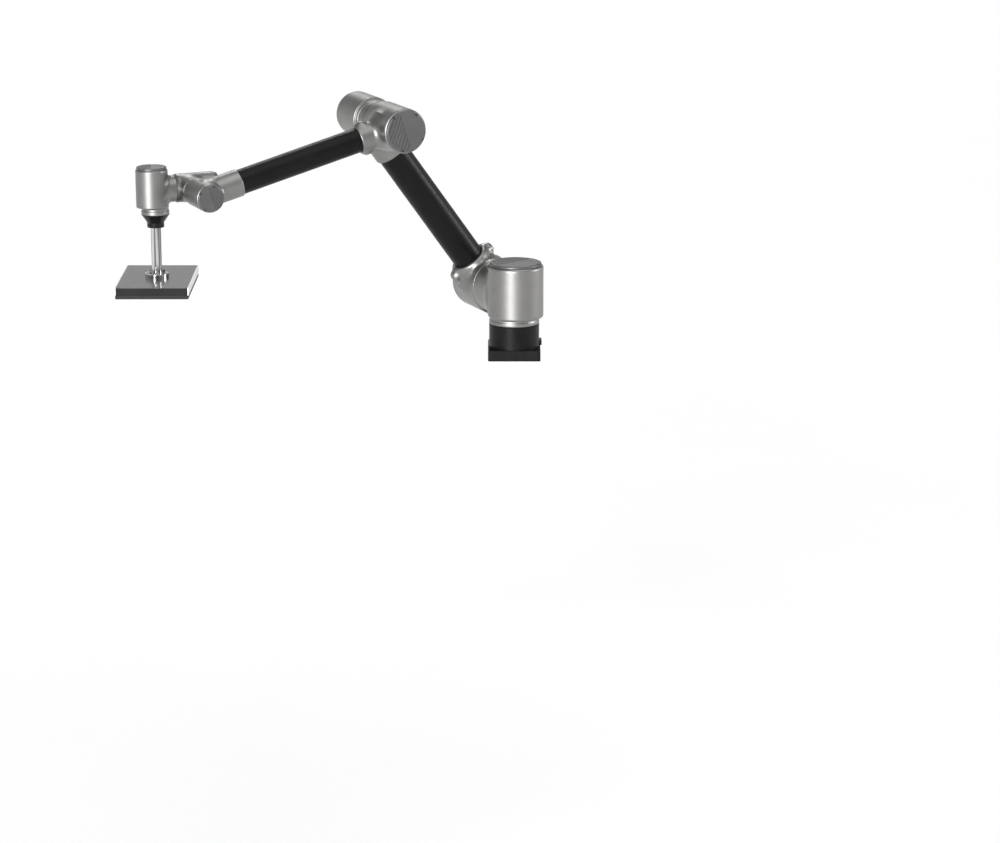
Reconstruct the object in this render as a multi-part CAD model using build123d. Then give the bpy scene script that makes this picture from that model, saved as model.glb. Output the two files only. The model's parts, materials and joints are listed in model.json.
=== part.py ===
from build123d import *
from math import cos, radians, sin
import os

# Six-axis collaborative robot arm with a flat vacuum gripper, in millimetres and degrees.
# Origin: centre of the base's mounting face, on the vertical axis of joint 1. +Z is up.
# The arm reaches along -X, and its joint covers face -Y.

# Links: the distances between the joint axes, and the angles of the stored pose.
SHOULDER_HEIGHT = 224    # joint 2 axis above the mounting face
UPPER_PLANE = 248        # centre plane of the upper arm, behind joint 1
UPPER_LENGTH = 771       # joint 2 axis to joint 3 axis
UPPER_RISE = 54          # upper arm above the horizontal
FORE_LENGTH = 716        # joint 3 axis to joint 4 axis
FORE_DROP = 14.8         # forearm below the horizontal
WRIST_PLANE = 164        # joints 5 and 6 behind the forearm's centre plane
WRIST_REACH = 117        # joint 4 axis to joint 6 axis
TURN = -24.5             # edges of the base and of the gripper about +Z, seen from above

# Parting planes of the six joints, measured along each joint's axis.
SPLIT_1 = 119.5          # height
SPLIT_2 = 143            # behind joint 1
SPLIT_3 = 165            # behind joint 1
SPLIT_4 = 80             # behind the forearm's centre plane
SPLIT_5 = 67.5           # from joint 6's axis
SPLIT_6 = 83             # below joint 5's axis
SEAM = 0.6               # each side of a parting plane, so the visible gap is twice this

BASE_WIDTH = 185
BASE_THICK = 38
BASE_BOLT_SPACING = 150
BASE_BOLT_RADIUS = 6.75
INLET_SIDE = 20          # cable inlet, off the base's middle line
INLET_HEIGHT = 47
COLUMN_RADIUS = 88.5

UPPER_TUBE_RADIUS = 56.5
FORE_TUBE_RADIUS = 42.6
TUBE_WALL = 5
SOCKET_DEPTH = 28        # how far a tube goes into its collar
UPPER_NEAR = 114         # joint 2 axis to the end of its collar
UPPER_FAR = 162          # joint 3 axis to the end of its collar, down the upper arm
FORE_NEAR = 140          # joint 3 axis to the end of its collar, along the forearm
FORE_FAR = 131.5         # joint 4 axis to the end of its collar

COVER_THICK = 8
RIM = 0.07               # rounded lip of a housing round its cover, as a share of the housing's radius
OPENING = 0.77           # hole under a cover, as a share of the housing's radius
SCREW_CIRCLE = 0.87       # circle of the cover screws, as a share of the housing's radius
PLATE_THICK = 12         # end plate that carries the next joint's output flange
CABLE_HOLE = 0.42        # radius of a cable way, as a share of the joint's bore

RUNNING = 0.05           # radial clearance of a running fit
CLEAR = 0.4              # radial clearance of parts that turn past each other

GRIP_WIDTH = 247
GRIP_DEPTH = 373
GRIP_TOP = 366           # height of the gripper's upper face
GRIP_HEIGHT = 40
FOAM_THICK = 14
ROD_RADIUS = 17.5
SLEEVE_RADIUS = 29
LID = 2.5
END_PLATE = 3
INNER_WIDTH = GRIP_WIDTH - 2 * END_PLATE

ON_BASE = (Align.CENTER, Align.CENTER, Align.MIN)


def heading(angle):
    """Direction in the arm's vertical plane, from -X upwards."""
    return Vector(-cos(radians(angle)), 0, sin(radians(angle)))


UPWARDS = heading(UPPER_RISE)
ONWARDS = heading(-FORE_DROP)
SHOULDER = Vector(0, 0, SHOULDER_HEIGHT)
ELBOW = SHOULDER + UPWARDS * UPPER_LENGTH
WRIST = ELBOW + ONWARDS * FORE_LENGTH
TOOL = WRIST + Vector(-WRIST_REACH, WRIST_PLANE, 0)
BACK = Vector(0, 1, 0)
FRONT = Vector(0, -1, 0)


def disc(radius, low, high):
    """Round slab about the local z axis."""
    return Pos(0, 0, low) * Cylinder(radius, high - low, align=ON_BASE)


def ring(outer, inner, low, high):
    """Round slab with a round hole."""
    return disc(outer, low, high) - disc(inner, low - 1, high + 1)


def along_port(shape, height):
    """Turn a shape made about z, from the joint's axis outwards, into the port's direction."""
    return Pos(0, 0, height) * Rot(0, 90, 0) * shape


class Joint:
    """A joint housing in its own frame: z runs from the parting plane to the cover, x points
    out of the port that carries the neighbouring link."""

    def __init__(self, place, neck, main, offset, bore, neck_length, depth, port_height):
        self.place = place
        self.neck = neck
        self.main = main
        self.offset = offset
        self.bore = bore
        self.neck_length = neck_length
        self.depth = depth
        self.port_height = port_height
        self.tap = 2 if main > 70 else 1.5     # radius of a cover screw

    def shell(self):
        """Neck and main cylinder. The main one is set off from the axis, away from the port."""
        barrel = disc(self.main, self.neck_length, self.depth)
        low_edge, high_edge = barrel.edges().filter_by(GeomType.CIRCLE).sort_by(Axis.Z)
        barrel = fillet(high_edge, 0.11 * self.main)
        low_edge = barrel.edges().filter_by(GeomType.CIRCLE).sort_by(Axis.Z)[0]
        barrel = fillet(low_edge, 0.07 * self.main)
        return disc(self.neck, SEAM, self.neck_length + 20) + self.aside(barrel)

    def aside(self, shape):
        """Move a shape from the joint's axis to the main cylinder's."""
        return Pos(-self.offset, 0, 0) * shape

    def hollow(self):
        """Bore of the drive, a wider room beyond it, and the opening under the cover."""
        room = disc(max(self.main - 9, self.bore), self.depth * 0.5, self.depth - 12)
        opening = disc(OPENING * self.main, self.depth - 13, self.depth + 1)
        return disc(self.bore, -1, self.depth - 12) + self.aside(room + opening)

    def rim(self):
        """Places of the four cover screws, near the cover's edge."""
        radius = SCREW_CIRCLE * self.main
        for turn in (62, 138, 222, 298):
            yield self.aside(Pos(radius * cos(radians(turn)), radius * sin(radians(turn)), 0))


def screw_holes(joint):
    """Tapped holes of the cover screws, in the housing."""
    return [at * disc(joint.tap, joint.depth - 10, joint.depth + 1) for at in joint.rim()]


def plate_port(joint, radius, reach):
    """Round boss that ends in a plate, to which the next joint's output is bolted."""
    return along_port(disc(radius, 0, reach - SEAM), joint.port_height)


def plate_port_hollow(joint, radius, reach):
    wall = radius - 8
    inside = disc(wall, 0, reach - PLATE_THICK) + disc(CABLE_HOLE * joint.bore, 0, reach + 1)
    return along_port(inside, joint.port_height)


def flared_port(joint, root, collar, waist, reach):
    """Boss that narrows in a hollow curve to the collar round a tube's end."""
    bend = (root * 0.25 + collar * 0.75, (waist[0] + waist[1]) * 0.5 - 3)
    outline = Polyline((0, 0), (root, 0), (root, waist[0]))
    outline += ThreePointArc((root, waist[0]), bend, (collar, waist[1]))
    outline += Polyline((collar, waist[1]), (collar, reach), (0, reach), (0, 0))
    boss = revolve(Plane.XZ * make_face(outline), Axis.Z)
    lip = boss.edges().sort_by(Axis.Z)[-1]
    return along_port(fillet(lip, 3), joint.port_height)


def socket(joint, tube, reach):
    """Bore of a collar: the tube's seat, and a cable way through the shoulder behind it."""
    seat = disc(tube, reach - SOCKET_DEPTH, reach + 1)
    way = disc(tube - TUBE_WALL - 3, 0, reach)
    return along_port(seat + way, joint.port_height)


def clamp_ears(joint, out, centre, radius):
    """Pair of domed bosses on the two sides of a collar, where its clamp screws go in."""
    boss = disc(radius, 0, out)
    boss = fillet(boss.edges().sort_by(Axis.Z)[-1], 0.7 * radius)
    return [Pos(centre, 0, joint.port_height) * Rot(90 * side, 0, 0) * boss for side in (-1, 1)]


def housing(joint, outside, inside):
    """Casting: the joint's shell joined with its ports, then hollowed out and tapped."""
    body = joint.shell()
    for piece in outside:
        body += piece
    body -= joint.hollow()
    for piece in inside + screw_holes(joint):
        body -= piece
    return body


def cover(joint, chord):
    """Round cover with a ribbed half. chord is the turn of the line between the halves."""
    radius = joint.main * (1 - RIM)
    top = joint.depth + COVER_THICK
    plate = disc(radius, joint.depth, top)
    plate = fillet(plate.edges().sort_by(Axis.Z)[-1], 0.055 * joint.main)
    pitch = 0.156 * joint.main
    groove = 0.028 * joint.main
    grooves = Part()
    for row in range(-6, 7):
        line = Box(pitch * 0.42, 3 * joint.main, 2 * groove)
        grooves += Rot(0, 0, chord - 38) * Pos(row * pitch, 0, top) * line
    half = Rot(0, 0, chord) * Pos(1.06 * joint.main, 0, top) * Box(2 * joint.main, 3 * joint.main, 9)
    plate -= grooves & disc(0.84 * joint.main, top - groove, top + groove) & half
    plate -= Rot(0, 0, chord) * Pos(0.04 * joint.main, 0, top) * Box(1.4, 3 * joint.main, 1.6)
    opening = OPENING * joint.main
    plate = joint.aside(plate + ring(opening - 0.3, opening - 4, joint.depth - 5, joint.depth + 1))
    for at in joint.rim():
        plate -= at * disc(2.4 * joint.tap, top - 4.5, top + 5)
        plate -= at * disc(joint.tap, joint.depth - 6, top)
    return plate


def cover_screws(joint):
    """Four socket-head screws in the cover's rim."""
    seat = joint.depth + COVER_THICK - 4.5
    socket_hole = Pos(0, 0, seat + 1.2) * extrude(RegularPolygon(0.9 * joint.tap, 6), 4)
    head = disc(1.75 * joint.tap, seat, seat + 1.6 * joint.tap) - socket_hole
    screw = head + disc(joint.tap, joint.depth - 9, seat + 0.5)
    return [at * screw for at in joint.rim()]


class Drive:
    """The drive inside a joint: a frameless motor and a strain-wave gear on a hollow shaft.
    Lengths are shares of the housing's depth, and radii are shares of its bore."""

    def __init__(self, joint):
        self.bore = joint.bore
        self.depth = joint.depth
        self.flange = 0.80 * joint.bore
        self.gear = 0.70 * joint.bore
        self.cup = self.gear - CLEAR
        self.shaft = 0.30 * joint.bore
        self.magnets = 0.50 * joint.bore

    def at(self, share):
        return share * self.depth

    def output(self):
        """Output flange with the thin flexing cup of the gear, open towards the motor."""
        plate = ring(self.flange, self.shaft + CLEAR, -SEAM, self.at(0.07))
        return plate + ring(self.cup, self.cup - 2, self.at(0.07) - 1, self.at(0.21))

    def ring_gear(self):
        """Fixed ring of the gear, with the outer race of the output bearing in front of it."""
        race = ring(self.bore, self.flange + RUNNING, self.at(0.01), self.at(0.085))
        return race + ring(self.bore, self.gear, self.at(0.085), self.at(0.22))

    def stator(self):
        """Motor windings, and the end bell that holds the shaft's bearing."""
        coils = ring(self.bore, self.magnets + CLEAR, self.at(0.27), self.at(0.40))
        return coils + ring(self.bore, self.shaft + RUNNING, self.at(0.40), self.at(0.43))

    def rotor(self):
        """Hollow shaft with the wave generator, the magnets and the brake disc."""
        wave = disc(self.cup - 2 - CLEAR, self.at(0.12), self.at(0.18))
        magnets = ring(self.magnets, self.magnets - 8, self.at(0.28), self.at(0.39))
        spokes = disc(self.magnets - 7, self.at(0.32), self.at(0.35))
        brake = disc(0.62 * self.bore, self.at(0.46), self.at(0.48))
        shaft = disc(self.shaft, self.at(0.09), self.at(0.60))
        return shaft + wave + magnets + spokes + brake - disc(self.shaft - 3, 0, self.depth)

    def board(self):
        """Drive electronics on three pillars that stand on the motor's end bell."""
        card = ring(0.94 * self.bore, self.shaft + 3, self.at(0.64), self.at(0.64) + 2)
        for turn in (30, 150, 270):
            card += Rot(0, 0, turn) * Pos(0.82 * self.bore, 0, 0) * disc(2.5, self.at(0.43), self.at(0.64))
            chip = Box(0.22 * self.bore, 0.3 * self.bore, 4, align=ON_BASE)
            card += Rot(0, 0, turn + 60) * Pos(0.65 * self.bore, 0, self.at(0.64) + 1) * chip
        return card


def facing(origin, port, out):
    """Joint frame at a point, with x along its port and z towards its cover."""
    return Plane(origin=origin, x_dir=port, z_dir=out).location


joint_1 = Joint(facing((0, 0, SPLIT_1), BACK, (0, 0, 1)), 88.5, 98, 12.5, 80, 25.5, 213,
                SHOULDER_HEIGHT - SPLIT_1)
joint_2 = Joint(facing(SHOULDER + BACK * SPLIT_2, UPWARDS, BACK), 95, 98, 12.5, 80, 9, 198,
                UPPER_PLANE - SPLIT_2)
joint_3 = Joint(facing(ELBOW + BACK * SPLIT_3, UPWARDS * -1, BACK), 70, 77, 0, 63, 18, 181,
                UPPER_PLANE - SPLIT_3)
elbow = Joint(facing(ELBOW + BACK * SPLIT_3, ONWARDS, FRONT), 70, 77, 0, 63, 72, 266.5, SPLIT_3)
joint_4 = Joint(facing(WRIST + BACK * SPLIT_4, ONWARDS * -1, FRONT), 43.5, 48.5, 0, 37, 13, 150.5, SPLIT_4)
joint_5 = Joint(facing(TOOL + Vector(SPLIT_5, 0, 0), FRONT, (1, 0, 0)), 45.5, 48.5, 0, 37, 5, 143.5,
                WRIST_REACH - SPLIT_5)
joint_6 = Joint(facing(TOOL - Vector(0, 0, SPLIT_6), (1, 0, 0), (0, 0, 1)), 47.5, 54.5, 10, 40, 24.5, 155,
                SPLIT_6)

JOINTS = {1: joint_1, 2: joint_2, 3: joint_3, 4: joint_4, 5: joint_5, 6: joint_6}
COVER_CHORDS = {1: 20, 2: 20, 3: 20, 4: 3, 5: 20, 6: 160}
ELBOW_COVER_CHORD = 3


def about_base(shape):
    return Rot(0, 0, TURN) * shape


def base_casting():
    """Square flange, round column and the plate that carries joint 1's output."""
    flange = Box(BASE_WIDTH, BASE_WIDTH, BASE_THICK, align=ON_BASE)
    flange = fillet(flange.edges().filter_by(Axis.Z), 8)
    flange = chamfer(flange.faces().sort_by(Axis.Z)[-1].edges(), 1.5)
    body = flange + disc(COLUMN_RADIUS, 0, SPLIT_1 - SEAM)
    body -= disc(COLUMN_RADIUS - 9, -1, SPLIT_1 - PLATE_THICK)
    body -= disc(CABLE_HOLE * joint_1.bore, 0, SPLIT_1 + 1)
    spread = BASE_BOLT_SPACING / 2
    for x in (-spread, spread):
        for y in (-spread, spread):
            body -= Pos(x, y, 0) * disc(BASE_BOLT_RADIUS, -1, BASE_THICK + 1)
            body -= Pos(x, y, 0) * disc(10.5, BASE_THICK - 14, BASE_THICK + 30)
    cable_way = Pos(COLUMN_RADIUS - 12, INLET_SIDE, INLET_HEIGHT) * Rot(0, 90, 0) * disc(5, 0, 30)
    return about_base(body - cable_way)


def base_connector():
    """Cable inlet: a low block beside the column, with a round socket and its pins."""
    block = Pos(COLUMN_RADIUS - 8, INLET_SIDE, BASE_THICK) * Box(34, 44, 18, align=ON_BASE)
    block = fillet(block.edges().filter_by(Axis.Z), 4)
    block = fillet(block.faces().sort_by(Axis.Z)[-1].edges(), 3)
    block -= disc(COLUMN_RADIUS, 0, 200)
    outwards = Pos(COLUMN_RADIUS + 9, INLET_SIDE, INLET_HEIGHT) * Rot(0, 90, 0)
    block -= outwards * disc(6.5, -6, 1)
    for turn in range(0, 360, 72):
        block += outwards * Rot(0, 0, turn) * Pos(3.5, 0, 0) * disc(0.9, -7, -1.5)
    return about_base(block)


def shoulder_housing():
    port = joint_2.neck
    return housing(joint_1, [plate_port(joint_1, port, SPLIT_2)], [plate_port_hollow(joint_1, port, SPLIT_2)])


def upper_arm_lower_housing():
    reach = UPPER_NEAR
    flare = flared_port(joint_2, 86, 71, (52, 74), reach)
    ears = clamp_ears(joint_2, 95, 88, 21)
    return housing(joint_2, [flare] + ears, [socket(joint_2, UPPER_TUBE_RADIUS, reach)])


def upper_arm_upper_housing():
    reach = UPPER_FAR
    flare = flared_port(joint_3, 70, 64, (70, 112), reach)
    return housing(joint_3, [flare], [socket(joint_3, UPPER_TUBE_RADIUS, reach)])


def forearm_elbow_housing():
    reach = FORE_NEAR
    flare = flared_port(elbow, 68, 48, (52, 98), reach)
    ears = clamp_ears(elbow, 58, 116, 14)
    body = housing(elbow, [flare] + ears, [socket(elbow, FORE_TUBE_RADIUS, reach)])
    return body + ring(elbow.bore + 1, CABLE_HOLE * elbow.bore, SEAM, PLATE_THICK)


def forearm_wrist_housing():
    reach = FORE_FAR
    flare = flared_port(joint_4, 45, 47, (40, 70), reach)
    return housing(joint_4, [flare], [socket(joint_4, FORE_TUBE_RADIUS, reach)])


def wrist_1_housing():
    reach = WRIST_PLANE - SPLIT_4
    port = joint_4.neck
    return housing(joint_5, [plate_port(joint_5, port, reach)], [plate_port_hollow(joint_5, port, reach)])


def wrist_2_housing():
    port = joint_5.neck
    return housing(joint_6, [plate_port(joint_6, port, SPLIT_5)], [plate_port_hollow(joint_6, port, SPLIT_5)])


def arm_tube(start, direction, radius, near, far):
    """Straight tube between two collars, seated to the bottom of each."""
    length = far - near + 2 * SOCKET_DEPTH
    tube = ring(radius, radius - TUBE_WALL, 0, length)
    origin = start + direction * (near - SOCKET_DEPTH)
    return Plane(origin=origin, x_dir=BACK, z_dir=direction).location * tube


def tool_frame(height):
    """Frame on joint 6's axis, turned with the gripper."""
    return Pos(TOOL.X, TOOL.Y, height) * Rot(0, 0, TURN)


def gripper_adapter():
    """Cone from the tool flange down to a sleeve that holds the rod."""
    top = TOOL.Z - SPLIT_6 - SEAM
    cone = Cone(SLEEVE_RADIUS, 47.5, 27.5, align=ON_BASE)
    sleeve = Pos(0, 0, -16) * Cylinder(SLEEVE_RADIUS, 16, align=ON_BASE)
    body = cone + sleeve - Pos(0, 0, -17) * Cylinder(ROD_RADIUS, 37, align=ON_BASE)
    return tool_frame(top - 27.5) * body


def gripper_rod():
    """Polished rod with its foot flange, screwed to the gripper's lid."""
    top = TOOL.Z - SPLIT_6 - SEAM - 7.5
    foot = disc(41, GRIP_TOP, GRIP_TOP + 13)
    foot = fillet(foot.edges().sort_by(Axis.Z)[-1], 2)
    body = foot + disc(ROD_RADIUS, GRIP_TOP + 5, top)
    for turn in range(45, 405, 90):
        body -= Rot(0, 0, turn) * Pos(30, 0, 0) * disc(3, GRIP_TOP - 1, GRIP_TOP + 20)
    return tool_frame(0) * body


def gripper_screws():
    """Four screws that hold the rod's foot on the lid and the chamber."""
    socket_hole = Pos(0, 0, GRIP_TOP + 15) * extrude(RegularPolygon(2.8, 6), 4)
    screw = disc(5, GRIP_TOP + 13, GRIP_TOP + 18) - socket_hole + disc(3, GRIP_TOP - 5, GRIP_TOP + 14)
    return [tool_frame(0) * Rot(0, 0, turn) * Pos(30, 0, 0) * screw for turn in range(45, 405, 90)]


def screw_clearance():
    hole = Pos(30, 0, 0) * disc(3, GRIP_TOP - 5, GRIP_TOP + 1)
    return [Rot(0, 0, turn) * hole for turn in range(45, 405, 90)]


def gripper_lid():
    lid = Pos(0, 0, GRIP_TOP - LID) * Box(INNER_WIDTH, GRIP_DEPTH, LID, align=ON_BASE)
    for hole in screw_clearance():
        lid -= hole
    return tool_frame(0) * lid


def gripper_chamber():
    """Extruded vacuum chamber, open below, with a rib on each side of the screwed middle."""
    low = GRIP_TOP - GRIP_HEIGHT + FOAM_THICK
    high = GRIP_TOP - LID
    body = Pos(0, 0, low) * Box(INNER_WIDTH, GRIP_DEPTH, high - low, align=ON_BASE)
    room = (GRIP_DEPTH - 8 - 3 * 6) / 4
    for bay in range(4):
        middle = -GRIP_DEPTH / 2 + 4 + room / 2 + bay * (room + 6)
        body -= Pos(0, middle, low - 1) * Box(INNER_WIDTH + 2, room, high - low - 5, align=ON_BASE)
    for hole in screw_clearance():
        body -= hole
    return tool_frame(0) * body


def gripper_end_plates():
    """Flat plates that close the two ends of the chamber."""
    low = GRIP_TOP - GRIP_HEIGHT + FOAM_THICK
    plate = Pos(0, 0, low) * Box(END_PLATE, GRIP_DEPTH, GRIP_TOP - low, align=ON_BASE)
    away = (GRIP_WIDTH - END_PLATE) / 2
    return [tool_frame(0) * Pos(side * away, 0, 0) * plate for side in (-1, 1)]


def gripper_foam():
    """Foam sealing mat with a grid of suction holes."""
    low = GRIP_TOP - GRIP_HEIGHT
    mat = Pos(0, 0, low) * Box(GRIP_WIDTH, GRIP_DEPTH, FOAM_THICK, align=ON_BASE)
    for column in range(-2, 3):
        for row in range(-4, 5):
            mat -= Pos(column * 46, row * 40 + 8, 0) * disc(8, low - 1, low + FOAM_THICK + 1)
    return tool_frame(0) * mat


def write(node, shape):
    pieces = shape if isinstance(shape, list) else [shape]
    solids = [solid for piece in pieces for solid in piece.solids()]
    export_step(solids[0] if len(solids) == 1 else Compound(solids), f"parts/{node}.step")


def screws_of(joints):
    return [joint.place * screw for joint in joints for screw in cover_screws(joint)]


os.makedirs("parts", exist_ok=True)

write("base_casting", base_casting())
write("base_connector", base_connector())
write("shoulder_housing", joint_1.place * shoulder_housing())
write("upper_arm_lower_housing", joint_2.place * upper_arm_lower_housing())
write("upper_arm_upper_housing", joint_3.place * upper_arm_upper_housing())
write("forearm_elbow_housing", elbow.place * forearm_elbow_housing())
write("forearm_wrist_housing", joint_4.place * forearm_wrist_housing())
write("wrist_1_housing", joint_5.place * wrist_1_housing())
write("wrist_2_housing", joint_6.place * wrist_2_housing())
write("upper_arm_tube", arm_tube(SHOULDER + BACK * UPPER_PLANE, UPWARDS, UPPER_TUBE_RADIUS,
                                 UPPER_NEAR, UPPER_LENGTH - UPPER_FAR))
write("forearm_tube", arm_tube(ELBOW, ONWARDS, FORE_TUBE_RADIUS, FORE_NEAR, FORE_LENGTH - FORE_FAR))

for number, joint in JOINTS.items():
    drive = Drive(joint)
    write(f"joint_{number}_cover", joint.place * cover(joint, COVER_CHORDS[number]))
    write(f"joint_{number}_output", joint.place * drive.output())
    write(f"joint_{number}_ring_gear", joint.place * drive.ring_gear())
    write(f"joint_{number}_stator", joint.place * drive.stator())
    write(f"joint_{number}_rotor", joint.place * drive.rotor())
    write(f"joint_{number}_board", joint.place * drive.board())
write("elbow_cover", elbow.place * cover(elbow, ELBOW_COVER_CHORD))

write("shoulder_cover_screws", screws_of([joint_1]))
write("upper_arm_cover_screws", screws_of([joint_2, joint_3]))
write("forearm_cover_screws", screws_of([elbow, joint_4]))
write("wrist_1_cover_screws", screws_of([joint_5]))
write("wrist_2_cover_screws", screws_of([joint_6]))

write("gripper_adapter", gripper_adapter())
write("gripper_rod", gripper_rod())
write("gripper_screws", gripper_screws())
write("gripper_lid", gripper_lid())
write("gripper_chamber", gripper_chamber())
write("gripper_end_plates", gripper_end_plates())
write("gripper_foam", gripper_foam())
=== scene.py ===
import json
from math import radians

import bpy
import numpy as np
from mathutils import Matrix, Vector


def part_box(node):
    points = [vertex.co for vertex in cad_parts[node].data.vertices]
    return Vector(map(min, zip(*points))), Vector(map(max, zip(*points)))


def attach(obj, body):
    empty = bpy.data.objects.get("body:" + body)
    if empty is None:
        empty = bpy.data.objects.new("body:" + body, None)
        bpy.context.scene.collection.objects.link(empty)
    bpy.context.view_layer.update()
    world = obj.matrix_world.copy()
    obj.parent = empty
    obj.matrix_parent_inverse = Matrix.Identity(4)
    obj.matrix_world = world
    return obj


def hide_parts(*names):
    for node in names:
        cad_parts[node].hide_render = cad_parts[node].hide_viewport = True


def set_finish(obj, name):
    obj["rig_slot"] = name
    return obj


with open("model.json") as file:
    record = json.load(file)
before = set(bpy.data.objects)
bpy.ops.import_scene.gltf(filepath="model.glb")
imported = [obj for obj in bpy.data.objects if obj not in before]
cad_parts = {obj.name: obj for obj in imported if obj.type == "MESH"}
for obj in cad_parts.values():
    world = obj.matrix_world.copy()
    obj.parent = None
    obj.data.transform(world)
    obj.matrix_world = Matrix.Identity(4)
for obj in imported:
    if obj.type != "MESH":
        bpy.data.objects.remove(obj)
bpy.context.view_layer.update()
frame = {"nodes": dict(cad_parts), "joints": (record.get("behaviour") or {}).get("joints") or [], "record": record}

import openvdb
from mathutils import Matrix, Vector

# Looks of the six-axis arm. Metres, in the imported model's frame.
# The seven silver castings are rebuilt here with soft cast blends. They stay hollow, because the
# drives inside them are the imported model's own parts.

SEAM = 0.0006            # each side of a parting plane
NECK_END = 0.07          # rounding of a barrel's end at its neck, as a share of its radius
COVER_END = 0.11         # rounding of a barrel's end at its cover, as a share of its radius
OPENING = 0.77           # hole under a cover, as a share of the barrel's radius
OPENING_DEPTH = 0.03
PLATE_THICK = 0.012      # plate at a joint, and the end of a barrel
CABLE_HOLE = 0.42        # share of the joint's bore
PORT_WALL = 0.008
BARREL_WALL = 0.009
PAST = 0.02              # how far a hollow runs past the face that it opens
HOLLOW_EDGE = 0.0016     # rounding of a hollow's edge
BOX_GAP = 0.00001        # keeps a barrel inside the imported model's box

SOCKET_DEPTH = 0.028     # how far a tube goes into its collar
SOCKET_FIT = 0.0001      # gap round a tube in its collar
UPPER_TUBE = 0.0565      # radius
FORE_TUBE = 0.0426       # radius
TUBE_WALL = 0.008
EAR_BLEND = 0.020

STEP = 0.028             # mesh size of a casting, as a share of its radius
FINEST = 0.0015          # smallest mesh size of a casting
BLEND_ROOM = 0.012       # space that the mesh grid leaves round a barrel

FOAM_WIDTH = 0.247
FOAM_DEPTH = 0.373
FOAM_TURN = -24.5        # degrees about Z
FOAM_STEP = 0.0022       # mesh size
HOLE_RADIUS = 0.008
HOLE_COLUMN = 0.046      # spacing of the suction holes
HOLE_ROW = 0.040
HOLE_SHIFT = 0.008       # of the whole grid of holes, along a column

FLOOR_DROP = 1.75        # the arm reaches below its own flange at several joint limits

CAMERA_PLACE = (-4.5665, -9.8643, 2.5893)
CAMERA_TURN = -24.577
CAMERA_TILT = 14.6
CAMERA_LENS = 113.4


# ---------------------------------------------------------------- distance fields

def rod(radius, low, high, low_edge=0.001, high_edge=0.001):
    """Round bar about z, with its two ends rounded."""
    def distance(x, y, z):
        middle = (low + high) / 2
        edge = np.where(z < middle, low_edge, high_edge)
        side = np.hypot(x, y) - radius + edge
        end = np.abs(z - middle) - (high - low) / 2 + edge
        outside = np.hypot(np.maximum(side, 0), np.maximum(end, 0))
        return np.minimum(np.maximum(side, end), 0) + outside - edge
    return distance


def flare(root, collar, start, end, low, reach, lip):
    """Bar about z that narrows in a hollow curve from root to collar."""
    plain = rod(collar, low + root - collar, reach, 0, lip)

    def distance(x, y, z):
        share = np.clip((end - z) / (end - start), 0, 1)
        extra = (root - collar) * share ** 2
        slope = 2 * (root - collar) * share / (end - start)
        return np.maximum(plain(x, y, z) - extra, z - reach) / np.hypot(1, slope)
    return distance


def slab(width, depth, height, edge):
    """Box about the origin with all its edges rounded."""
    def distance(x, y, z):
        gaps = [np.abs(v) - size / 2 + edge for v, size in ((x, width), (y, depth), (z, height))]
        outside = np.sqrt(sum(np.maximum(gap, 0) ** 2 for gap in gaps))
        return np.minimum(np.maximum.reduce(gaps), 0) + outside - edge
    return distance


def moved(shape, place):
    return lambda x, y, z: shape(x - place[0], y - place[1], z - place[2])


def along_port(shape, height):
    """Turn a shape about z so that it runs out along x."""
    return lambda x, y, z: shape(y, z - height, x)


def join(first, second, blend):
    """Union with a hollow blend along the line where the two shapes meet."""
    def distance(x, y, z):
        a = first(x, y, z)
        b = second(x, y, z)
        near = np.maximum(blend - np.abs(a - b), 0) / blend
        return np.minimum(a, b) - near * near * blend / 4
    return distance


def cut(first, second, edge):
    """First shape without the second, with a slightly rounded edge."""
    def distance(x, y, z):
        a = first(x, y, z)
        b = -second(x, y, z)
        near = np.maximum(edge - np.abs(a - b), 0) / edge
        return np.maximum(a, b) + near * near * edge / 4
    return distance


def settle(distance, points, step):
    """Move points onto the surface, so that the mesh is smoother than its grid."""
    reach = step * 0.05
    for _ in range(3):
        here = distance(*points.T)
        slope = np.stack([distance(*(points + shift).T) - distance(*(points - shift).T)
                          for shift in np.eye(3) * reach], axis=1) / (2 * reach)
        # A blend flattens the field, so the slope gets a lower limit.
        strength = np.maximum((slope ** 2).sum(axis=1), 0.25)
        points = points - slope * np.clip(here / strength, -step, step)[:, None]
    return points


def surface(name, distance, low, high, step):
    """Mesh object of the zero surface of a distance field, inside a box."""
    margin = 3 * step
    low = np.array(low) - margin
    axes = [np.arange(a, b + margin, step) for a, b in zip(low, high)]
    values = distance(*np.meshgrid(*axes, indexing="ij"))
    grid = openvdb.FloatGrid(1.0)
    grid.copyFromArray(values.astype(np.float32))
    grid.transform = openvdb.createLinearTransform(step)
    points, quads = grid.convertToQuads()
    points = settle(distance, points.astype(float) + low, step)
    mesh = bpy.data.meshes.new(name)
    mesh.from_pydata(points, [], quads[:, ::-1])
    mesh.validate()
    mesh.shade_smooth()
    piece = bpy.data.objects.new(name, mesh)
    bpy.context.scene.collection.objects.link(piece)
    return piece


# ---------------------------------------------------------------- castings

def joint_place(name):
    joint = next(j for j in frame["joints"] if j["name"] == name)
    return Vector(joint["pos_m"])


def flat_direction(start, end):
    """Unit direction between two joints, seen along Y."""
    way = joint_place(end) - joint_place(start)
    return Vector((way.x, 0, way.z)).normalized()


UPWARDS = flat_direction("joint_2", "joint_3")
ONWARDS = flat_direction("joint_3", "joint_4")
BACK = Vector((0, 1, 0))
RIGHT = Vector((1, 0, 0))
TOP = Vector((0, 0, 1))


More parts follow.
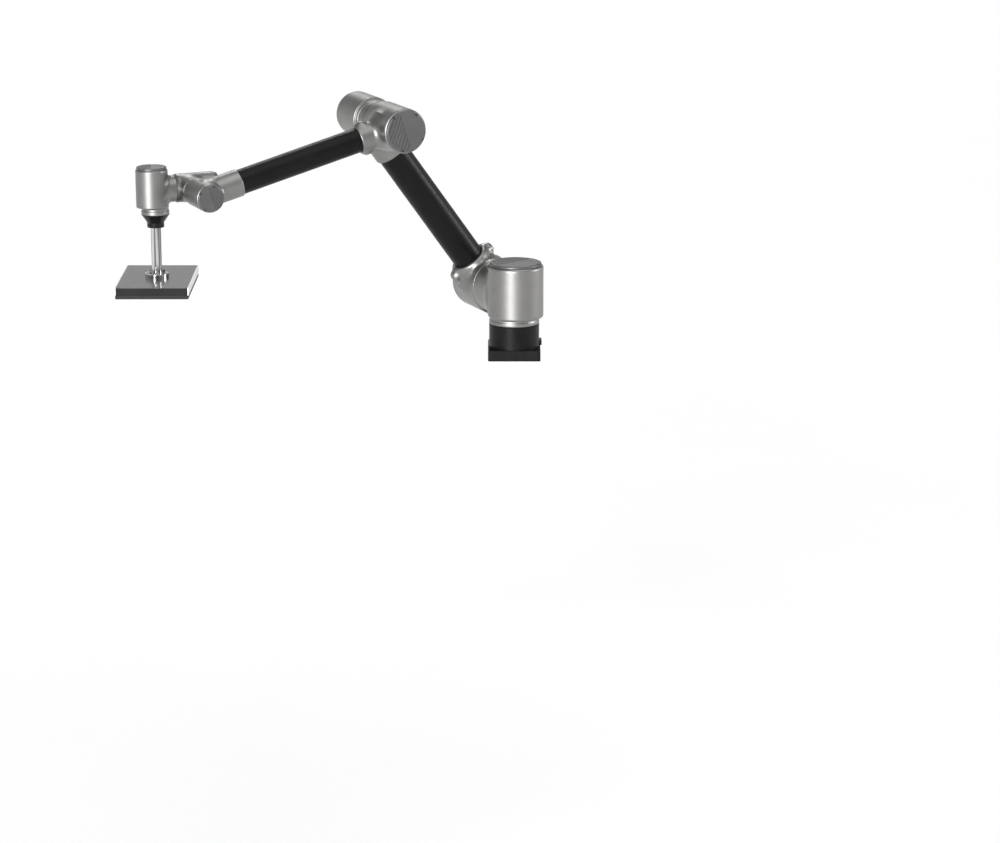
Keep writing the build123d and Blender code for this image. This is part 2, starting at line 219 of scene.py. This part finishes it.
class Housing:
    """A joint housing in its own frame: z runs from the parting plane to the cover, and x points
    out of the port. offset is how far the main cylinder sits off the axis, away from the port."""

    def __init__(self, joint, port, out, neck, main, offset, bore, neck_length, depth):
        self.origin = joint_place(joint)
        self.axes = (port, out.cross(port), out)
        self.neck = neck
        self.main = main - BOX_GAP
        self.offset = offset
        self.bore = bore
        self.neck_length = neck_length
        self.depth = depth
        self.floor = -PAST
        self.lip = 0.0015

    def outside(self):
        """Neck ring, waist and main cylinder."""
        ring = rod(self.neck, SEAM, max(0.58 * self.neck_length, 0.006), self.lip, 0.0025)
        waist = rod(self.neck - 0.0022, SEAM + self.lip, self.neck_length + 0.02)
        barrel = rod(self.main, self.neck_length, self.depth,
                     NECK_END * self.main, COVER_END * self.main)
        body = join(ring, waist, 0.002)
        return join(body, self.aside(barrel), 0.004)

    def aside(self, shape):
        return moved(shape, (-self.offset, 0, 0))

    def inside(self):
        """Bore of the drive, the wider room beyond it and the opening under the cover."""
        end = self.depth - PLATE_THICK
        wide = max(self.main - BARREL_WALL, self.bore)
        bore = rod(self.bore, self.floor, end)
        room = rod(wide, 0.5 * self.depth, end, 0.004, 0.004)
        opening = rod(OPENING * self.main, self.depth - OPENING_DEPTH, self.depth + PAST)
        body = join(bore, self.aside(room), 0.0005)
        return join(body, self.aside(opening), 0.0005)

    def build(self, node, body, outside, inside, reach):
        """Casting that replaces an imported housing and rides with it."""
        solid = cut(outside, self.inside(), HOLLOW_EDGE)
        for hollow in inside:
            solid = cut(solid, hollow, HOLLOW_EDGE)
        wide = self.main + self.offset + BLEND_ROOM
        step = max(STEP * self.main, FINEST)
        low = (-wide, -wide, 0)
        high = (max(reach, wide), wide, self.depth)
        piece = surface(node + "_cast", solid, low, high, step)
        turn = Matrix(self.axes).transposed().to_4x4()
        piece.data.transform(Matrix.Translation(self.origin) @ turn)
        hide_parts(node)
        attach(piece, body)
        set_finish(piece, "casting")
        return piece


def plate_port(housing, radius, height, low, reach):
    """Boss that ends in a plate, with its hollow and its cable way."""
    boss = along_port(rod(radius, low, reach - SEAM, 0.001, 0.0012), height)
    room = along_port(rod(radius - PORT_WALL, -0.001, reach - PLATE_THICK), height)
    way = along_port(rod(CABLE_HOLE * housing.bore, 0, reach + PAST), height)
    return boss, [room, way]


def tube_socket(tube, height, reach):
    """Seat of a tube in a collar, and the cable way behind it."""
    seat = along_port(rod(tube + SOCKET_FIT, reach - SOCKET_DEPTH, reach + PAST), height)
    way = along_port(rod(tube - TUBE_WALL, 0, reach), height)
    return [seat, way]


def with_ears(body, out, centre, radius, height):
    """Add the pair of domed bosses on a collar's two sides."""
    boss = rod(radius, 0, out, 0, 0.7 * radius)
    body = join(body, lambda x, y, z: boss(x - centre, z - height, y), EAR_BLEND)
    return join(body, lambda x, y, z: boss(x - centre, z - height, -y), EAR_BLEND)


def shoulder_housing():
    housing = Housing("joint_1", port=BACK, out=TOP, neck=0.0885, main=0.098,
                      offset=0.0125, bore=0.080, neck_length=0.0255, depth=0.213)
    height = joint_place("joint_2").z - joint_place("joint_1").z
    reach = joint_place("joint_2").y
    boss, hollows = plate_port(housing, 0.095, height, 0.030, reach)
    body = join(housing.outside(), boss, 0.028)
    return housing.build("shoulder_housing", "shoulder", body, hollows, reach)


def upper_arm_lower_housing():
    housing = Housing("joint_2", port=UPWARDS, out=BACK, neck=0.095, main=0.098,
                      offset=0.0125, bore=0.080, neck_length=0.009, depth=0.198)
    height = 0.105
    reach = 0.114
    neck = along_port(flare(0.082, 0.0655, 0.040, 0.085, 0.030, reach - 0.012, 0.002), height)
    collar = along_port(rod(0.071, reach - 0.030, reach, 0.010, 0.009), height)
    body = join(housing.outside(), neck, 0.034)
    body = join(body, collar, 0.008)
    body = with_ears(body, 0.094, 0.088, 0.021, height)
    return housing.build("upper_arm_lower_housing", "upper_arm", body,
                         tube_socket(UPPER_TUBE, height, reach), reach)


def upper_arm_upper_housing():
    housing = Housing("joint_3", port=-UPWARDS, out=BACK, neck=0.070, main=0.077,
                      offset=0, bore=0.063, neck_length=0.018, depth=0.181)
    height = 0.083
    reach = 0.162
    housing.lip = 0.005
    neck = along_port(flare(0.070, 0.064, 0.060, 0.125, 0.030, reach, 0.004), height)
    body = join(housing.outside(), neck, 0.030)
    return housing.build("upper_arm_upper_housing", "upper_arm", body,
                         tube_socket(UPPER_TUBE, height, reach), reach)


def forearm_elbow_housing():
    housing = Housing("joint_3", port=ONWARDS, out=-BACK, neck=0.070, main=0.077,
                      offset=0, bore=0.063, neck_length=0.072, depth=0.2665)
    height = joint_place("joint_3").y
    reach = 0.140
    housing.lip = 0.005
    neck = along_port(flare(0.068, 0.048, 0.046, 0.098, 0.036, reach, 0.004), height)
    body = join(housing.outside(), neck, 0.024)
    body = with_ears(body, 0.058, 0.116, 0.014, height)
    housing.floor = PLATE_THICK
    cable_way = rod(CABLE_HOLE * housing.bore, -PAST, PAST)
    hollows = tube_socket(FORE_TUBE, height, reach) + [cable_way]
    return housing.build("forearm_elbow_housing", "forearm", body, hollows, reach)


def forearm_wrist_housing():
    housing = Housing("joint_4", port=-ONWARDS, out=-BACK, neck=0.0435, main=0.0485,
                      offset=0, bore=0.037, neck_length=0.013, depth=0.1505)
    height = joint_place("joint_4").y
    reach = 0.1315
    neck = along_port(flare(0.045, 0.047, 0.035, 0.080, 0.015, reach, 0.003), height)
    body = join(housing.outside(), neck, 0.016)
    return housing.build("forearm_wrist_housing", "forearm", body,
                         tube_socket(FORE_TUBE, height, reach), reach)


def wrist_1_housing():
    housing = Housing("joint_5", port=-BACK, out=RIGHT, neck=0.0455, main=0.0485,
                      offset=0, bore=0.037, neck_length=0.005, depth=0.1435)
    height = joint_place("joint_4").x - joint_place("joint_5").x
    reach = joint_place("joint_5").y - joint_place("joint_4").y
    boss, hollows = plate_port(housing, 0.0435, height, 0.018, reach)
    body = join(housing.outside(), boss, 0.016)
    return housing.build("wrist_1_housing", "wrist_1", body, hollows, reach)


def wrist_2_housing():
    housing = Housing("joint_6", port=RIGHT, out=TOP, neck=0.0475, main=0.0545,
                      offset=0.010, bore=0.040, neck_length=0.0245, depth=0.155)
    height = joint_place("joint_5").z - joint_place("joint_6").z
    reach = joint_place("joint_5").x - joint_place("joint_6").x
    boss, hollows = plate_port(housing, 0.0455, height, 0.012, reach)
    body = join(housing.outside(), boss, 0.012)
    return housing.build("wrist_2_housing", "wrist_2", body, hollows, reach)


# ---------------------------------------------------------------- gripper foam

def gripper_foam():
    """Soft sealing mat with rounded edges and a grid of suction holes."""
    low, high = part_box("gripper_foam")
    height = high.z - low.z
    mat = slab(FOAM_WIDTH - 0.001, FOAM_DEPTH - 0.001, height - 0.0002, 0.0035)
    hole = rod(HOLE_RADIUS, -PAST, PAST)
    for column in range(-2, 3):
        for row in range(-4, 5):
            mat = cut(mat, moved(hole, (column * HOLE_COLUMN, row * HOLE_ROW + HOLE_SHIFT, 0)), 0.003)
    piece = surface("gripper_foam_mat", mat, (-FOAM_WIDTH / 2, -FOAM_DEPTH / 2, -height / 2),
                    (FOAM_WIDTH / 2, FOAM_DEPTH / 2, height / 2), FOAM_STEP)
    turn = Matrix.Rotation(radians(FOAM_TURN), 4, "Z")
    piece.data.transform(Matrix.Translation((low + high) / 2) @ turn)
    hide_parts("gripper_foam")
    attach(piece, "gripper")
    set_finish(piece, "foam")
    return piece


# ---------------------------------------------------------------- materials

class Paint:
    """A Principled material with patterns from nodes."""

    def __init__(self, name, metallic=0.0):
        self.material = bpy.data.materials.new(name)
        self.material.use_nodes = True
        self.tree = self.material.node_tree
        self.shader = self.tree.nodes["Principled BSDF"]
        self.shader.inputs["Metallic"].default_value = metallic
        self.place = self.tree.nodes.new("ShaderNodeTexCoord").outputs["Object"]

    def link(self, source, target):
        self.tree.links.new(source, target)

    def noise(self, scale, detail=3.0, roughness=0.55, stretch=None):
        """Noise from 0 to 1. scale is in patterns to a metre."""
        node = self.tree.nodes.new("ShaderNodeTexNoise")
        node.inputs["Scale"].default_value = scale
        node.inputs["Detail"].default_value = detail
        node.inputs["Roughness"].default_value = roughness
        self.link(self.stretched(stretch) if stretch else self.place, node.inputs["Vector"])
        return node.outputs["Fac"]

    def stretched(self, scale):
        node = self.tree.nodes.new("ShaderNodeMapping")
        node.inputs["Scale"].default_value = scale
        self.link(self.place, node.inputs["Vector"])
        return node.outputs["Vector"]

    def cells(self, scale):
        node = self.tree.nodes.new("ShaderNodeTexVoronoi")
        node.inputs["Scale"].default_value = scale
        self.link(self.place, node.inputs["Vector"])
        return node.outputs["Distance"]

    def levels(self, source, low, high, start=0.3, end=0.7):
        """Map the middle of a pattern's span to low..high."""
        node = self.tree.nodes.new("ShaderNodeMapRange")
        node.inputs["From Min"].default_value = start
        node.inputs["From Max"].default_value = end
        node.inputs["To Min"].default_value = low
        node.inputs["To Max"].default_value = high
        self.link(source, node.inputs["Value"])
        return node.outputs["Result"]

    def between(self, factor, first, second):
        """Colour between two, by a pattern."""
        node = self.tree.nodes.new("ShaderNodeMix")
        node.data_type = "RGBA"
        node.inputs["A"].default_value = (*first, 1)
        node.inputs["B"].default_value = (*second, 1)
        self.link(factor, node.inputs["Factor"])
        return node.outputs["Result"]

    def colour(self, source):
        self.link(source, self.shader.inputs["Base Color"])

    def roughness(self, source):
        self.link(source, self.shader.inputs["Roughness"])

    def bump(self, source, strength, height):
        node = self.tree.nodes.new("ShaderNodeBump")
        node.inputs["Strength"].default_value = strength
        node.inputs["Distance"].default_value = height
        self.link(source, node.inputs["Height"])
        self.link(node.outputs["Normal"], self.shader.inputs["Normal"])


def speckled(name, dark, light, smooth, rough, metallic=0.0, grain=900, relief=0.1, height=0.0002):
    """Painted, coated or cast surface: cloudy colour, uneven gloss and a fine grain."""
    paint = Paint(name, metallic)
    paint.colour(paint.between(paint.levels(paint.noise(14, 5), 0, 1), dark, light))
    paint.roughness(paint.levels(paint.noise(55, 4), smooth, rough))
    paint.bump(paint.noise(grain, 2), relief, height)
    return paint


def casting():
    paint = speckled("silver_paint", (0.215, 0.213, 0.209), (0.245, 0.243, 0.239), 0.38, 0.46,
                     metallic=1.0, grain=1100, relief=0.10)
    return paint.material


def cover():
    paint = speckled("grey_cover", (0.105, 0.105, 0.105), (0.128, 0.128, 0.127), 0.40, 0.50,
                     metallic=0.8, grain=1400, relief=0.22)
    return paint.material


def black(name, dark, light, smooth, rough, shine, grain, relief):
    """Black finish with little mirror light of its own."""
    paint = speckled(name, (dark,) * 3, (light,) * 3, smooth, rough, 0.0, grain, relief)
    paint.shader.inputs["Specular IOR Level"].default_value = shine
    return paint.material


def tube():
    return black("black_tube", 0.0028, 0.0048, 0.34, 0.44, 0.13, 1800, 0.08)


def base():
    return black("black_base", 0.0032, 0.0060, 0.32, 0.46, 0.13, 1200, 0.15)


def adapter():
    return black("black_adapter", 0.0035, 0.0060, 0.22, 0.34, 0.20, 1600, 0.08)


def connector():
    return black("black_plastic", 0.0060, 0.0100, 0.45, 0.60, 0.25, 700, 0.30)


def chamber():
    return black("black_chamber", 0.0045, 0.0080, 0.36, 0.50, 0.16, 1500, 0.12)


def foam():
    paint = Paint("black_foam")
    pores = paint.cells(420)
    paint.colour(paint.between(pores, (0.010, 0.010, 0.010), (0.030, 0.030, 0.030)))
    paint.roughness(paint.levels(paint.noise(200), 0.85, 0.98))
    paint.bump(pores, 0.6, 0.0008)
    return paint.material


def lid():
    paint = speckled("grey_lid", (0.090, 0.090, 0.090), (0.110, 0.110, 0.110), 0.15, 0.22,
                     metallic=0.75, grain=1300, relief=0.04)
    return paint.material


def end_plates():
    paint = speckled("clear_anodised", (0.60, 0.60, 0.60), (0.68, 0.68, 0.68), 0.35, 0.48,
                     metallic=0.7, grain=1500, relief=0.06)
    return paint.material


def rod_steel():
    paint = Paint("polished_steel", 1.0)
    # Lengthwise noise: drawn lines in the gloss and relief, and painted reflections in the colour.
    drawn_lines_and_painted_reflections = paint.noise(110, 2, 0.5, (1, 1, 0.02))
    painted_reflection_streaks = paint.levels(drawn_lines_and_painted_reflections, 0, 1, 0.4, 0.6)
    # Painted reflection: dark and light grey streaks along the rod stand in for dark upright things mirrored in
    # it.
    paint.colour(paint.between(painted_reflection_streaks, (0.16, 0.16, 0.165), (0.66, 0.66, 0.67)))
    paint.roughness(paint.levels(drawn_lines_and_painted_reflections, 0.08, 0.16))
    paint.bump(drawn_lines_and_painted_reflections, 0.05, 0.0002)
    return paint.material


def dark_steel():
    paint = Paint("black_oxide_steel", 0.9)
    paint.colour(paint.between(paint.noise(300), (0.05, 0.05, 0.055), (0.11, 0.11, 0.115)))
    paint.roughness(paint.levels(paint.noise(500), 0.28, 0.45))
    paint.bump(paint.noise(2500), 0.1, 0.0001)
    return paint.material


def gear_steel():
    paint = Paint("ground_steel", 1.0)
    paint.colour(paint.between(paint.noise(60, 5), (0.42, 0.42, 0.43), (0.56, 0.56, 0.57)))
    rings = paint.noise(300, 3, 0.6, (1, 1, 9))
    paint.roughness(paint.levels(rings, 0.22, 0.38))
    paint.bump(rings, 0.1, 0.0002)
    return paint.material


def windings():
    paint = Paint("copper_and_laminations", 0.8)
    layers = paint.noise(90, 2, 0.5, (0.2, 0.2, 14))
    bands = paint.levels(layers, 0, 1, 0.45, 0.55)
    paint.colour(paint.between(bands, (0.30, 0.12, 0.05), (0.22, 0.22, 0.23)))
    paint.roughness(paint.levels(paint.noise(400), 0.35, 0.55))
    paint.bump(layers, 0.3, 0.0005)
    return paint.material


def circuit_board():
    paint = Paint("solder_mask")
    traces = paint.cells(240)
    copper = paint.levels(traces, 0, 1, 0.42, 0.5)
    paint.colour(paint.between(copper, (0.010, 0.070, 0.030), (0.020, 0.150, 0.060)))
    paint.roughness(paint.levels(traces, 0.28, 0.42, 0.4, 0.5))
    paint.bump(traces, 0.3, 0.0002)
    return paint.material


MATERIALS = {
    "casting": casting, "cover": cover, "screws": dark_steel, "tube": tube,
    "circuit_board": circuit_board, "windings": windings, "gear_steel": gear_steel, "base": base,
    "connector": connector, "adapter": adapter, "rod": rod_steel, "lid": lid, "chamber": chamber,
    "end_plates": end_plates, "foam": foam,
}


def paint_everything(pieces):
    """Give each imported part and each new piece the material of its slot."""
    made = {slot: build() for slot, build in MATERIALS.items()}
    for part in frame["record"]["subparts"]:
        node = frame["nodes"][part["node"]]
        for slot in node.material_slots:
            slot.material = made[part["material_slot"]]
    for piece in pieces:
        piece.data.materials.append(made[piece["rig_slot"]])


# ---------------------------------------------------------------- floor, light and camera

def floor():
    paint = Paint("pale_floor")
    paint.colour(paint.between(paint.noise(0.7, 4), (0.90, 0.90, 0.90), (0.93, 0.93, 0.93)))
    paint.roughness(paint.levels(paint.noise(3), 0.75, 0.85))
    mesh = bpy.data.meshes.new("floor")
    side = 80
    corners = [(-side, -side, 0), (side, -side, 0), (side, side, 0), (-side, side, 0)]
    mesh.from_pydata(corners, [], [(0, 1, 2, 3)])
    mesh.materials.append(paint.material)
    plane = bpy.data.objects.new("floor", mesh)
    plane.location.z = -FLOOR_DROP
    bpy.context.scene.collection.objects.link(plane)


def soft_sun(name, turn, tilt, spread, strength):
    """Broad distant light from a compass turn and a height angle."""
    light = bpy.data.lights.new(name, "SUN")
    light.angle = radians(spread)
    light.energy = strength
    holder = bpy.data.objects.new(name, light)
    holder.rotation_euler = (radians(90 - tilt), 0, radians(turn))
    bpy.context.scene.collection.objects.link(holder)


def lights():
    """Pale studio: bright round the horizon, darker overhead, with five soft suns."""
    world = bpy.data.worlds.new("studio")
    world.use_nodes = True
    tree = world.node_tree
    direction = tree.nodes.new("ShaderNodeTexCoord").outputs["Generated"]
    split = tree.nodes.new("ShaderNodeSeparateXYZ")
    rise = tree.nodes.new("ShaderNodeMapRange")
    rise.inputs["From Min"].default_value = 0.08
    rise.inputs["From Max"].default_value = 0.50
    rise.inputs["To Min"].default_value = 0.80
    rise.inputs["To Max"].default_value = 0.30
    rise.interpolation_type = "SMOOTHSTEP"
    tree.links.new(direction, split.inputs["Vector"])
    tree.links.new(split.outputs["Z"], rise.inputs["Value"])
    tree.links.new(rise.outputs["Result"], tree.nodes["Background"].inputs["Strength"])
    tree.nodes["Background"].inputs["Color"].default_value = (1, 1, 1, 1)
    bpy.context.scene.world = world
    soft_sun("overhead", turn=20, tilt=70, spread=55, strength=1.1)
    soft_sun("key", turn=-45, tilt=5, spread=12, strength=3.4)
    soft_sun("key_high", turn=-45, tilt=26, spread=22, strength=0.9)
    soft_sun("right_edge", turn=68, tilt=12, spread=16, strength=1.3)
    soft_sun("behind", turn=165, tilt=38, spread=18, strength=0.6)


def camera():
    data = bpy.data.cameras.new("camera")
    data.lens = CAMERA_LENS
    holder = bpy.data.objects.new("camera", data)
    holder.location = CAMERA_PLACE
    holder.rotation_euler = (radians(90 - CAMERA_TILT), 0, radians(CAMERA_TURN))
    bpy.context.scene.collection.objects.link(holder)
    bpy.context.scene.camera = holder


camera()
floor()
lights()
bpy.context.scene.view_settings.view_transform = "Standard"

pieces = [
    shoulder_housing(),
    upper_arm_lower_housing(),
    upper_arm_upper_housing(),
    forearm_elbow_housing(),
    forearm_wrist_housing(),
    wrist_1_housing(),
    wrist_2_housing(),
    gripper_foam(),
]
paint_everything(pieces)
